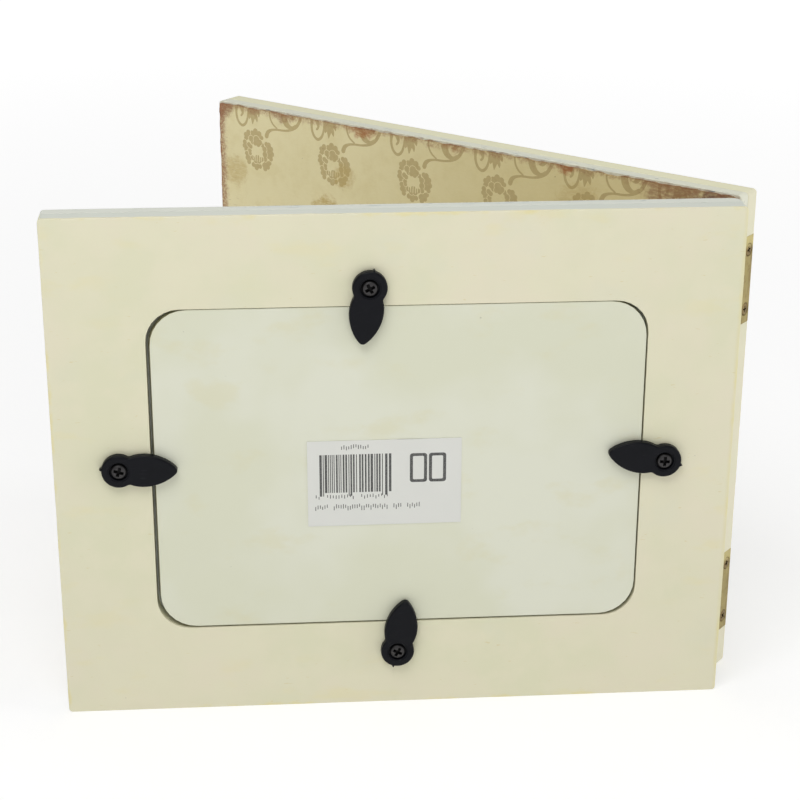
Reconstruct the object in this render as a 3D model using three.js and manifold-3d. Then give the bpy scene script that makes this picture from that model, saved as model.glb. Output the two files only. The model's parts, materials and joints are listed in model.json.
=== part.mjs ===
// Folding double photo frame: two painted board leaves that open like a book on two brass butt hinges.
//
// Each leaf is a stack. From its inner face (the face with the picture) to its back it holds a printed
// facing paper, a face board with a window, glass, a photo card, and a backing board that sits in the
// opening of a back ring and is held there by four turn buttons.
//
// Both leaves are drawn in one leaf frame: the hinge pin is the Z axis, +y points from the inner face
// to the back, and x runs along the leaf from the pin, towards +x on the right leaf (hand 1) and -x on
// the left leaf (hand -1). All sizes are millimetres and +Z is up.
import * as THREE from 'three';
import { mergeVertices } from 'three/addons/utils/BufferGeometryUtils.js';
import Module from 'manifold-3d';

const wasm = await Module();
wasm.setup();

// Leaves
const LEAF_WIDTH = 220;
const LEAF_HEIGHT = 172;
const LEAF_THICKNESS = 11;
const CORNER_RADIUS = 1.5;
const OPEN_ANGLE = THREE.MathUtils.degToRad(40.6);
const GAP = 0.2;

// Depths in a leaf, from its inner face to its back
const PAPER_THICKNESS = 0.35;
const FACE_BOARD = { front: 0.5, back: 4.9 };
const BACK_RING = { front: 5.1, back: LEAF_THICKNESS };
const GLASS = { front: 5.1, back: 7.1 };
const PHOTO_CARD = { front: 7.3, back: 7.7 };
const BACKING_BOARD = { front: 7.9, back: 10.7 };
const LABEL = { front: 10.75, back: 10.9 };

// Window, opening and what lies in it, by distance from the hinge edge and height
const WINDOW_CENTRE = { along: 108.8, up: 86.4 };
const WINDOW = { width: 146, height: 96, radius: 0.5 };
const PAPER_WINDOW_MARGIN = 0.3;
const PAPER_INSET = 0.4;
// The upright inner edge beside the hinges, which is rounded more on the right leaf (hand 1)
const HINGE_EDGE = { 1: { radius: 2.5, paperInset: 2.7 }, [-1]: { radius: 0.7, paperInset: 0.9 } };
const OPENING = { along: 109.3, up: 86.15, width: 159.2, height: 111.6, radius: 10.5 };
const BACKING = { along: 108.9, up: 86.3, width: 157.4, height: 110.8, radius: 11.5 };
const PANE = { width: 152.4, height: 101.6, radius: 0.5 };
const PRINT = { width: 151, height: 100.5, radius: 0.5 };
const LABEL_SIZE = { width: 50, height: 30, radius: 0.3, along: 113.85, up: 81.3, tilt: -0.15 };

// Hinges: the pin axis lies just off the corner between the hinge edge and the inner face
const EDGE_OFFSET = 0.9;
const FACE_OFFSET = 0.3;
const HINGE_CENTRES = { upper: 142, lower: 29 };
const HINGE_HEIGHT = 30;
const PLATE_THICKNESS = 0.9;
// How deep the plates reach: through to the back of the left leaf, short of the back of the right one
const PLATE_BACK = {
  1: FACE_OFFSET + LEAF_THICKNESS - 1.5,
  [-1]: FACE_OFFSET + LEAF_THICKNESS - 0.1,
};
const KNUCKLE_RADIUS = EDGE_OFFSET + PLATE_THICKNESS;
const KNUCKLE_HALF = 5;
const KNUCKLE_GAP = 0.15;
const PIN_RADIUS = 0.8;
const PIN_BORE_RADIUS = 0.9;
const PIN_INSET = 0.1;
const MORTISE_DEPTH = PLATE_THICKNESS + 0.3;
const HINGE_SCREW_RISE = 10.2;
const HINGE_SCREW_DEPTH = { 1: 7, [-1]: 8.2 };

// Screws, as radius and distance below the top of the head
const HINGE_SCREW = [[0, 0], [2.1, 0], [2.1, 0.3], [1.1, 1.3], [1.1, 10.5], [0, 12]];
const BUTTON_SCREW = [[0, 0], [1.9, 0], [2.55, 0.45], [2.55, 1], [1.4, 1], [1.4, 6.2], [0, 7.6]];
const SCREW_CLEARANCE = 0.22;
const CROSS_SLOT = { width: 0.7, length: 2.6, depth: 0.6 };

// Turn buttons: a round head on the screw and a pointed leaf that reaches over the backing board
const BUTTON_HEAD_RADIUS = 5.7;
const BUTTON_WAIST = 3.4;
const BUTTON_TIP = 18.2;
const BUTTON_TIP_RADIUS = 0.8;
const BUTTON_THICKNESS = 2.4;
const BUTTON_BEVEL = 0.6;
const BUTTON_RECESS = { radius: 3.45, floor: 1.3 };
const BUTTON_BORE_RADIUS = 1.7;
const BUTTON_SCREW_HEAD_TOP = 2.6;
const RIGHT_BUTTONS = {
  top: { along: 118.6, up: 148.3, aim: -82.3 },
  free_side: { along: 199.1, up: 88.5, aim: 180.6 },
  hinge_side: { along: 22.6, up: 87.2, aim: 9.9 },
  bottom: { along: 109.6, up: 20.2, aim: 98.4 },
};
const LEFT_BUTTONS = {
  top: { along: 108.2, up: 148.1, aim: -93.5 },
  free_side: { along: 199.1, up: 85.6, aim: 176 },
  hinge_side: { along: 22.6, up: 86.8, aim: 4.5 },
  bottom: { along: 112.4, up: 20.4, aim: 86.5 },
};

const ROUND_STEPS = 16;

function material(color, roughness, metalness) {
  return () => new THREE.MeshStandardMaterial({ color, roughness, metalness });
}

const creamPaint = material(0xe3ddc3, 0.5, 0);
const whitePaint = material(0xd9ddd3, 0.55, 0);
const printedPaper = material(0xcfc292, 0.7, 0);
const clearGlass = material(0xdfe8e6, 0.05, 0);
const photoPaper = material(0xe9e7e0, 0.6, 0);
const hardboard = material(0xd9dccb, 0.6, 0);
const labelPaper = material(0xf4f4f1, 0.5, 0);
const blackPlastic = material(0x15151a, 0.4, 0);
const blackSteel = material(0x3a3838, 0.4, 0.8);
const brass = material(0xb09a58, 0.35, 1);

// Booleans ---------------------------------------------------------------------------------------

function toManifold(geometry) {
  const bare = geometry.clone();
  bare.deleteAttribute('normal');
  bare.deleteAttribute('uv');
  const merged = mergeVertices(bare, 1e-4);
  return new wasm.Manifold(new wasm.Mesh({
    numProp: 3,
    vertProperties: merged.attributes.position.array,
    triVerts: Uint32Array.from(merged.index.array),
  }));
}

function toGeometry(manifold) {
  const mesh = manifold.getMesh();
  const geometry = new THREE.BufferGeometry();
  geometry.setAttribute('position', new THREE.BufferAttribute(mesh.vertProperties, 3));
  geometry.setIndex(new THREE.BufferAttribute(mesh.triVerts, 1));
  geometry.computeVertexNormals();
  return geometry;
}

// One solid from the joined geometries, less every cutter.
function carve(joined, cutters = []) {
  const whole = joined.map(toManifold).reduce((a, b) => a.add(b));
  return toGeometry(cutters.map(toManifold).reduce((a, b) => a.subtract(b), whole));
}

// Shapes -----------------------------------------------------------------------------------------

// Rounded rectangle in the plane of a leaf, where a shape's y is height.
function roundedOutline(Kind, x, z, { width, height, radius }) {
  const right = x + width / 2 - radius;
  const left = x - width / 2 + radius;
  const top = z + height / 2 - radius;
  const bottom = z - height / 2 + radius;
  const outline = new Kind();
  outline.absarc(right, bottom, radius, -Math.PI / 2, 0);
  outline.absarc(right, top, radius, 0, Math.PI / 2);
  outline.absarc(left, top, radius, Math.PI / 2, Math.PI);
  outline.absarc(left, bottom, radius, Math.PI, Math.PI * 1.5);
  outline.closePath();
  return outline;
}

// A flat piece of the given outline between two depths in the leaf.
function slab(shape, { front, back }, steps = 4) {
  const geometry = new THREE.ExtrudeGeometry(shape, {
    depth: back - front,
    bevelEnabled: false,
    curveSegments: steps,
  });
  geometry.rotateX(Math.PI / 2);
  return geometry.translate(0, FACE_OFFSET + back, 0);
}

function box(x, y, z) {
  const geometry = new THREE.BoxGeometry(x[1] - x[0], y[1] - y[0], z[1] - z[0]);
  return geometry.translate((x[0] + x[1]) / 2, (y[0] + y[1]) / 2, (z[0] + z[1]) / 2);
}

// An upright box that runs in x between two distances from the pin, on the leaf's own side.
function edgeBox(hand, near, far, y, z) {
  const x = [hand * near, hand * far].sort((a, b) => a - b);
  return box(x, y, z);
}

function uprightRod(radius, bottom, top, steps = ROUND_STEPS) {
  const rod = new THREE.CylinderGeometry(radius, radius, top - bottom, steps);
  return rod.rotateX(Math.PI / 2).translate(0, 0, (bottom + top) / 2);
}

// A turned piece with its head at y = 0 and its point towards -y. As a cutter it is wider all round by
// grow, and its head's face stands that much higher.
function turned(profile, grow = 0) {
  const points = profile.map(([radius, depth], i) => {
    const wide = radius > 0 ? radius + grow : 0;
    const low = i < 2 ? depth - grow : depth;
    return new THREE.Vector2(wide, -low);
  });
  return new THREE.LatheGeometry(points.reverse(), ROUND_STEPS);
}

function screw(profile) {
  const half = CROSS_SLOT.width / 2;
  const reach = CROSS_SLOT.length / 2;
  const y = [-CROSS_SLOT.depth, CROSS_SLOT.depth];
  const slots = [box([-half, half], y, [-reach, reach]), box([-reach, reach], y, [-half, half])];
  return carve([turned(profile)], slots);
}

// Where things are in a leaf ---------------------------------------------------------------------

function alongLeaf(hand, along) {
  return hand * (EDGE_OFFSET + along);
}

function placeHingeScrew(geometry, hand, height) {
  geometry.rotateZ(hand * Math.PI / 2);
  return geometry.translate(hand * EDGE_OFFSET, FACE_OFFSET + HINGE_SCREW_DEPTH[hand], height);
}

function placeButtonScrew(geometry, hand, { along, up }) {
  const back = FACE_OFFSET + LEAF_THICKNESS + GAP + BUTTON_SCREW_HEAD_TOP;
  return geometry.translate(alongLeaf(hand, along), back, up);
}

function hingeScrewHeights(centre) {
  return { a: centre + HINGE_SCREW_RISE, b: centre - HINGE_SCREW_RISE };
}

function hingeScrewCutters(hand) {
  const heights = Object.values(HINGE_CENTRES).flatMap((c) => Object.values(hingeScrewHeights(c)));
  return heights.map((height) => placeHingeScrew(turned(HINGE_SCREW, SCREW_CLEARANCE), hand, height));
}

// The recesses in the hinge edge that take the plates and the knuckles.
function mortises(hand, depth = MORTISE_DEPTH) {
  const half = HINGE_HEIGHT / 2 + GAP;
  const y = [-1, hand > 0 ? PLATE_BACK[hand] + GAP : FACE_OFFSET + LEAF_THICKNESS + 1];
  return Object.values(HINGE_CENTRES).map((centre) => (
    edgeBox(hand, 0, EDGE_OFFSET + depth, y, [centre - half, centre + half])
  ));
}

// What the rounding of the face board's upright edge beside the hinges takes away.
function innerEdgeRounding(hand) {
  const { radius } = HINGE_EDGE[hand];
  const spandrel = new THREE.Shape();
  spandrel.moveTo(-1, -1);
  spandrel.lineTo(radius, -1);
  spandrel.lineTo(radius, 0);
  spandrel.absarc(radius, radius, radius, -Math.PI / 2, -Math.PI, true);
  spandrel.lineTo(-1, radius);
  const prism = new THREE.ExtrudeGeometry(spandrel, {
    depth: LEAF_HEIGHT + 2,
    bevelEnabled: false,
    curveSegments: 4,
  });
  if (hand < 0) {
    prism.rotateZ(Math.PI / 2);
  }
  return prism.translate(hand * EDGE_OFFSET, FACE_OFFSET, -1);
}

// Pieces of a leaf -------------------------------------------------------------------------------

function leafOutline(hand, inset = 0, hingeInset = inset) {
  const size = {
    width: LEAF_WIDTH - inset - hingeInset,
    height: LEAF_HEIGHT - 2 * inset,
    radius: CORNER_RADIUS,
  };
  const along = (LEAF_WIDTH - inset + hingeInset) / 2;
  return roundedOutline(THREE.Shape, alongLeaf(hand, along), LEAF_HEIGHT / 2, size);
}

function centred(Kind, hand, size, { along, up } = WINDOW_CENTRE) {
  return roundedOutline(Kind, alongLeaf(hand, along), up, size);
}

function facingPaper(hand) {
  const outline = leafOutline(hand, PAPER_INSET, HINGE_EDGE[hand].paperInset);
  const window = {
    width: WINDOW.width + 2 * PAPER_WINDOW_MARGIN,
    height: WINDOW.height + 2 * PAPER_WINDOW_MARGIN,
    radius: WINDOW.radius,
  };
  outline.holes.push(centred(THREE.Path, hand, window));
  return carve([slab(outline, { front: 0, back: PAPER_THICKNESS }, 2)], mortises(hand));
}

function faceBoard(hand) {
  const outline = leafOutline(hand);
  outline.holes.push(centred(THREE.Path, hand, WINDOW));
  return carve([slab(outline, FACE_BOARD, 3)], [...mortises(hand), innerEdgeRounding(hand)]);
}

function backRing(hand, buttons) {
  const outline = leafOutline(hand);
  outline.holes.push(centred(THREE.Path, hand, OPENING, OPENING));
  const buttonHoles = Object.values(buttons).map((button) => (
    placeButtonScrew(turned(BUTTON_SCREW, SCREW_CLEARANCE), hand, button)
  ));
  const cutters = [...mortises(hand), ...hingeScrewCutters(hand), ...buttonHoles];
  return carve([slab(outline, BACK_RING, 6)], cutters);
}

function pane(hand, size, depths, centre) {
  return carve([slab(centred(THREE.Shape, hand, size, centre), depths, 6)]);
}

function label(hand) {
  const geometry = slab(roundedOutline(THREE.Shape, 0, 0, LABEL_SIZE), LABEL, 3);
  geometry.rotateY(-THREE.MathUtils.degToRad(LABEL_SIZE.tilt));
  return geometry.translate(alongLeaf(hand, LABEL_SIZE.along), 0, LABEL_SIZE.up);
}

// Outline of a turn button with its screw at the origin and its tip towards +x.
function buttonOutline() {
  const waist = Math.sqrt(BUTTON_HEAD_RADIUS ** 2 - BUTTON_WAIST ** 2);
  const start = Math.atan2(waist, BUTTON_WAIST);
  const tipSide = BUTTON_TIP_RADIUS * 0.9;
  const shape = new THREE.Shape();
  shape.absarc(0, 0, BUTTON_HEAD_RADIUS, start, 2 * Math.PI - start);
  shape.bezierCurveTo(7, -6.9, 13.5, -5.4, BUTTON_TIP, -tipSide);
  shape.lineTo(BUTTON_TIP + BUTTON_TIP_RADIUS / 2, 0);
  shape.lineTo(BUTTON_TIP, tipSide);
  shape.bezierCurveTo(13.5, 5.4, 7, 6.9, BUTTON_WAIST, waist);
  return shape;
}

function turnButton(hand, { along, up, aim }) {
  const body = new THREE.ExtrudeGeometry(buttonOutline(), {
    depth: BUTTON_THICKNESS - BUTTON_BEVEL,
    bevelThickness: BUTTON_BEVEL,
    bevelSize: BUTTON_BEVEL,
    bevelOffset: -BUTTON_BEVEL,
    bevelSegments: 1,
    curveSegments: 10,
  });
  body.rotateX(-Math.PI / 2);
  const { radius, floor } = BUTTON_RECESS;
  const recess = new THREE.CylinderGeometry(radius, radius, 2, ROUND_STEPS).translate(0, floor + 1, 0);
  const bore = new THREE.CylinderGeometry(BUTTON_BORE_RADIUS, BUTTON_BORE_RADIUS, 8, ROUND_STEPS);
  const underside = box([-20, 20], [-BUTTON_BEVEL - 1, 0], [-20, 20]);
  const geometry = carve([body], [recess, bore, underside]);
  const angle = THREE.MathUtils.degToRad(aim);
  geometry.rotateY(hand > 0 ? -angle : angle + Math.PI);
  return geometry.translate(alongLeaf(hand, along), FACE_OFFSET + LEAF_THICKNESS + GAP, up);
}

// Heights, from the hinge's centre, that a hinge plate's own knuckles fill.
function knuckleSpans(hand) {
  const inner = KNUCKLE_HALF - KNUCKLE_GAP;
  const outer = KNUCKLE_HALF + KNUCKLE_GAP;
  const half = HINGE_HEIGHT / 2;
  return hand > 0 ? [[-half, -outer], [outer, half]] : [[-inner, inner]];
}

function hingePlate(hand, centre) {
  const half = HINGE_HEIGHT / 2;
  const plateFront = KNUCKLE_RADIUS + KNUCKLE_GAP;
  const span = (y, z) => edgeBox(hand, EDGE_OFFSET, KNUCKLE_RADIUS, y, z);
  const parts = [span([plateFront, PLATE_BACK[hand]], [centre - half, centre + half])];
  for (const [low, high] of knuckleSpans(hand)) {
    parts.push(uprightRod(KNUCKLE_RADIUS, centre + low, centre + high, 24));
    parts.push(span([0, plateFront + 1], [centre + low, centre + high]));
  }
  const bore = uprightRod(PIN_BORE_RADIUS, centre - half - 1, centre + half + 1, 24);
  return carve(parts, [bore, ...hingeScrewCutters(hand)]);
}

function hingePin(centre) {
  const half = HINGE_HEIGHT / 2 - PIN_INSET;
  return carve([uprightRod(PIN_RADIUS, centre - half, centre + half, 24)]);
}

// Assembly ---------------------------------------------------------------------------------------

function named(name, geometry, makeMaterial) {
  const mesh = new THREE.Mesh(geometry, makeMaterial());
  mesh.name = name;
  return mesh;
}

function leaf(side, hand, buttons) {
  const group = new THREE.Group();
  const add = (name, geometry, look) => group.add(named(`${side}_${name}`, geometry, look));

  add('facing_paper', facingPaper(hand), printedPaper);
  add('face_board', faceBoard(hand), whitePaint);
  add('back_ring', backRing(hand, buttons), creamPaint);
  add('glass', pane(hand, PANE, GLASS), clearGlass);
  add('photo_card', pane(hand, PRINT, PHOTO_CARD), photoPaper);
  add('backing_board', pane(hand, BACKING, BACKING_BOARD, BACKING), hardboard);

  for (const [place, button] of Object.entries(buttons)) {
    add(`button_${place}`, turnButton(hand, button), blackPlastic);
    add(`button_screw_${place}`, placeButtonScrew(screw(BUTTON_SCREW), hand, button), blackSteel);
  }

  for (const [level, centre] of Object.entries(HINGE_CENTRES)) {
    add(`hinge_plate_${level}`, hingePlate(hand, centre), brass);
    for (const [mark, height] of Object.entries(hingeScrewHeights(centre))) {
      const fixed = placeHingeScrew(screw(HINGE_SCREW), hand, height);
      add(`hinge_screw_${level}_${mark}`, fixed, brass);
    }
  }
  return group;
}

const rightLeaf = leaf('right', 1, RIGHT_BUTTONS);
rightLeaf.rotation.z = Math.PI;
rightLeaf.add(named('right_label', label(1), labelPaper));
for (const [level, centre] of Object.entries(HINGE_CENTRES)) {
  rightLeaf.add(named(`hinge_pin_${level}`, hingePin(centre), brass));
}

const leftLeaf = leaf('left', -1, LEFT_BUTTONS);
leftLeaf.rotation.z = -OPEN_ANGLE;

const doubleFrame = new THREE.Group();
doubleFrame.add(rightLeaf, leftLeaf);

// The origin is the middle of the whole object's footprint, at its base.
doubleFrame.updateMatrixWorld(true);
const extent = new THREE.Box3().setFromObject(doubleFrame, true);
const middle = extent.getCenter(new THREE.Vector3());
doubleFrame.position.set(-middle.x, -middle.y, -extent.min.z);

export default doubleFrame;
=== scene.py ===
"""Folding double photo frame: two painted board leaves on two brass hinges, each closed at the back by a
board that four turn buttons hold in its opening.

Every piece of a leaf is drawn in leaf coordinates, in millimetres: x runs along the leaf from its hinge
edge, y is the depth from its inner face (the picture side) to its back, and z is the height. LEAVES turns
them into the row frame, and the point attribute "leaf" keeps them, so that paint, print and wear follow
the edges of the leaf.
"""
import json
import math
import random

import bmesh
import bpy
import numpy as np
from mathutils import Matrix, Vector, noise
from mathutils.geometry import delaunay_2d_cdt


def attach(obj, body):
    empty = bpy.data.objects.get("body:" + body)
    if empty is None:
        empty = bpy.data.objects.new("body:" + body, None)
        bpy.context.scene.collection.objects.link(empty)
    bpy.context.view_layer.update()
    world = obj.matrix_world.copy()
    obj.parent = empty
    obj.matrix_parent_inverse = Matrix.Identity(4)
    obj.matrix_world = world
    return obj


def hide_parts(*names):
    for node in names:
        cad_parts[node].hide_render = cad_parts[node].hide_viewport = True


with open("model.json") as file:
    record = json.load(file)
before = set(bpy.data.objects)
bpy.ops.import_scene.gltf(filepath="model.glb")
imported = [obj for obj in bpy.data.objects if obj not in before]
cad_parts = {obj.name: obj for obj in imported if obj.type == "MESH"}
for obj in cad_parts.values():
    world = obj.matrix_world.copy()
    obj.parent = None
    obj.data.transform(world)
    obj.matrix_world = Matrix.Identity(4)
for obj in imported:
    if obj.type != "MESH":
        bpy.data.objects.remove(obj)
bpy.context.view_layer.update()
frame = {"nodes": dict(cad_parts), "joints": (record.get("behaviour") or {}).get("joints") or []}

MM = 0.001
HANDS = {"right": 1, "left": -1}
JOINTS = {joint["name"]: joint for joint in frame["joints"]}
HINGE = JOINTS["leaf_hinge"]
OPEN_ANGLE = math.radians(-HINGE["range_deg"][0])

# Rounding and wear of the boards, in millimetres
CORNER_RADIUS = 1.3
SEAM = 0.12
BACK_EDGE = 0.35
FRONT_EDGE = 0.25
INNER_HINGE_EDGE = {"right": 2.6, "left": 0.8}
OPENING_RADIUS = 10.8
BACKING_RADIUS = 11.8
SAWN_LEAN = 0.55
LEAN_REACH = 6
PLATE_CLEARANCE = 0.03
BORE_CLEARANCE = 0.05
GLUE = 0.02
WEAR = 0.06
RIM = 27  # every bore in a leaf is closer to its edge than this, and every opening further in

SHARP = math.radians(50)

# Points along a long side, an upright side and a corner of each board's outline
LONG_STEPS = 74
UPRIGHT_STEPS = 57
CORNER_STEPS = 7


# Places, from the frame ------------------------------------

def row_points(node, matrix):
    """The vertices of a CAD node in the coordinates that matrix turns into the row frame."""
    inverse = matrix.inverted()
    return np.array([inverse @ v.co for v in frame["nodes"][node].data.vertices])


def leaf_to_row(side):
    hand = HANDS[side]
    pin = Matrix.Translation((HINGE["pos_m"][0], HINGE["pos_m"][1], 0))
    turn = Matrix.Rotation(math.pi if hand > 0 else -OPEN_ANGLE, 4, "Z")
    from_pin = pin @ turn @ Matrix.Diagonal((hand * MM, MM, MM, 1))
    edge = row_points(f"{side}_face_board", from_pin).min(0)[0]
    face = row_points(f"{side}_facing_paper", from_pin).min(0)[1]
    return from_pin @ Matrix.Translation((edge, face, 0))


LEAVES = {side: leaf_to_row(side) for side in HANDS}


def span(side, node, inner=False):
    """Lowest and highest corner of a node in leaf coordinates, or of the hole in its middle."""
    points = row_points(node, LEAVES[side])
    if inner:
        across, up = points[:, 0], points[:, 2]
        clear = (across > RIM) & (across < LENGTH - RIM) & (up > RIM) & (up < HEIGHT - RIM)
        points = points[clear]
    return Vector(points.min(0)), Vector(points.max(0))


LENGTH, DEPTH, HEIGHT = span("right", "right_back_ring")[1]
PIN_X, PIN_Y, _ = LEAVES["right"].inverted() @ Vector(HINGE["pos_m"])


# Mesh code -------------------------------------------------

def wander(x, z, seed, size, amount):
    """A smooth irregular offset at a place, the same at each run."""
    return amount * noise.noise((x / size, z / size, seed))


def outline(low, high, radius, steps=(LONG_STEPS, UPRIGHT_STEPS), arc=CORNER_STEPS):
    """Points round a rounded rectangle in the plane of a leaf, each as (x, z)."""
    arcs = []
    for quarter, (side, level) in enumerate(((1, -1), (1, 1), (-1, 1), (-1, -1))):
        centre_x = high[0] - radius if side > 0 else low[0] + radius
        centre_z = high[1] - radius if level > 0 else low[1] + radius
        angles = [math.radians(90 * (quarter - 1 + k / arc)) for k in range(arc + 1)]
        arcs.append([(centre_x + radius * math.cos(a), centre_z + radius * math.sin(a)) for a in angles])
    points = []
    for quarter, corner in enumerate(arcs):
        points += corner
        start, end = corner[-1], arcs[(quarter + 1) % 4][0]
        count = steps[1 - quarter % 2]
        for k in range(1, count):
            share = k / count
            points.append(tuple(a + (b - a) * share for a, b in zip(start, end)))
    return points


def drawn_back(depth, radius):
    """How far a rounded edge has drawn back from the side at a depth below the face."""
    if depth >= radius:
        return 0.0
    return radius - math.sqrt(radius ** 2 - (radius - depth) ** 2)


def at_depth(points, y):
    return [(x, y, z) for x, z in points]


def loft(loops, closed=False):
    """Vertices and faces that join equal loops in turn. An open loft is capped, a closed one is a ring."""
    size = len(loops[0])
    verts = [point for loop in loops for point in loop]
    faces = []
    for i in range(len(loops) if closed else len(loops) - 1):
        j = (i + 1) % len(loops)
        for k in range(size):
            m = (k + 1) % size
            faces.append((i * size + k, i * size + m, j * size + m, j * size + k))
    if not closed:
        faces.append(tuple(range(size)))
        faces.append(tuple((len(loops) - 1) * size + k for k in range(size)))
    return verts, faces


def mesh_of(parts):
    """One mesh from several (vertices, faces) shapes, each closed, with its faces turned out."""
    verts, faces = [], []
    for part_verts, part_faces in parts:
        first = len(verts)
        verts += [tuple(v) for v in part_verts]
        faces += [tuple(first + i for i in face) for face in part_faces]
    mesh = bpy.data.meshes.new("shape")
    mesh.from_pydata(verts, [], faces)
    turn_out(mesh)
    return mesh


def turn_out(mesh):
    work = bmesh.new()
    work.from_mesh(mesh)
    bmesh.ops.recalc_face_normals(work, faces=work.faces)
    work.to_mesh(mesh)
    work.free()


def carved(mesh, cutters):
    """The mesh less the shapes in cutters."""
    body = bpy.data.objects.new("body", mesh)
    tool = bpy.data.objects.new("tool", mesh_of(cutters))
    for piece in (body, tool):
        bpy.context.scene.collection.objects.link(piece)
    cut = body.modifiers.new("cut", "BOOLEAN")
    cut.operation = "DIFFERENCE"
    cut.solver = "EXACT"
    cut.use_self = True
    cut.object = tool
    seen = body.evaluated_get(bpy.context.evaluated_depsgraph_get())
    result = bpy.data.meshes.new_from_object(seen)
    bpy.data.objects.remove(body)
    bpy.data.objects.remove(tool)
    return result


def block(low, high):
    """A box shape, used only to cut with."""
    (x0, y0, z0), (x1, y1, z1) = low, high
    near = [(x0, y0, z0), (x1, y0, z0), (x1, y0, z1), (x0, y0, z1)]
    far = [(x0, y1, z0), (x1, y1, z0), (x1, y1, z1), (x0, y1, z1)]
    return loft([near, far])


def lathe(profile, place, steps=40):
    """A turned shape from (radius, distance) pairs. place turns (across, distance, across) into the leaf."""
    angles = [2 * math.pi * k / steps for k in range(steps)]
    loops = [[place(r * math.cos(a), d, r * math.sin(a)) for a in angles] for r, d in profile]
    return loft(loops)


def bevel(mesh, width):
    """Rounds the sharp edges of a mesh by a small width."""
    work = bmesh.new()
    work.from_mesh(mesh)
    sharp = [e for e in work.edges if len(e.link_faces) == 2 and e.calc_face_angle() > SHARP]
    bmesh.ops.bevel(work, geom=sharp, offset=width, segments=2, profile=0.5, affect="EDGES")
    work.to_mesh(mesh)
    work.free()


def settle(mesh, side, node, look, body=None, sharp=32):
    """Makes the piece that stands for a CAD node from a mesh in leaf coordinates."""
    places = np.zeros(len(mesh.vertices) * 3, np.float32)
    mesh.vertices.foreach_get("co", places)
    mesh.attributes.new("leaf", "FLOAT_VECTOR", "POINT").data.foreach_set("vector", places)
    mesh.transform(LEAVES[side])
    turn_out(mesh)
    mesh.shade_smooth()
    mesh.set_sharp_from_angle(angle=math.radians(sharp))
    mesh.materials.clear()
    mesh.materials.append(look)
    mesh.name = f"{node}_look"
    piece = bpy.data.objects.new(f"{node}_look", mesh)
    bpy.context.scene.collection.objects.link(piece)
    weighted = piece.modifiers.new("weighted", "WEIGHTED_NORMAL")
    weighted.keep_sharp = True
    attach(piece, body or f"{side}_leaf")
    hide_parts(node)
    return piece


# Node trees ------------------------------------------------

def rgb(red, green, blue):
    """A colour given as 0 to 255 on a screen, as the linear colour that a shader takes."""
    def linear(value):
        value /= 255
        return value / 12.92 if value <= 0.04045 else ((value + 0.055) / 1.055) ** 2.4
    return (linear(red), linear(green), linear(blue), 1.0)


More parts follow.
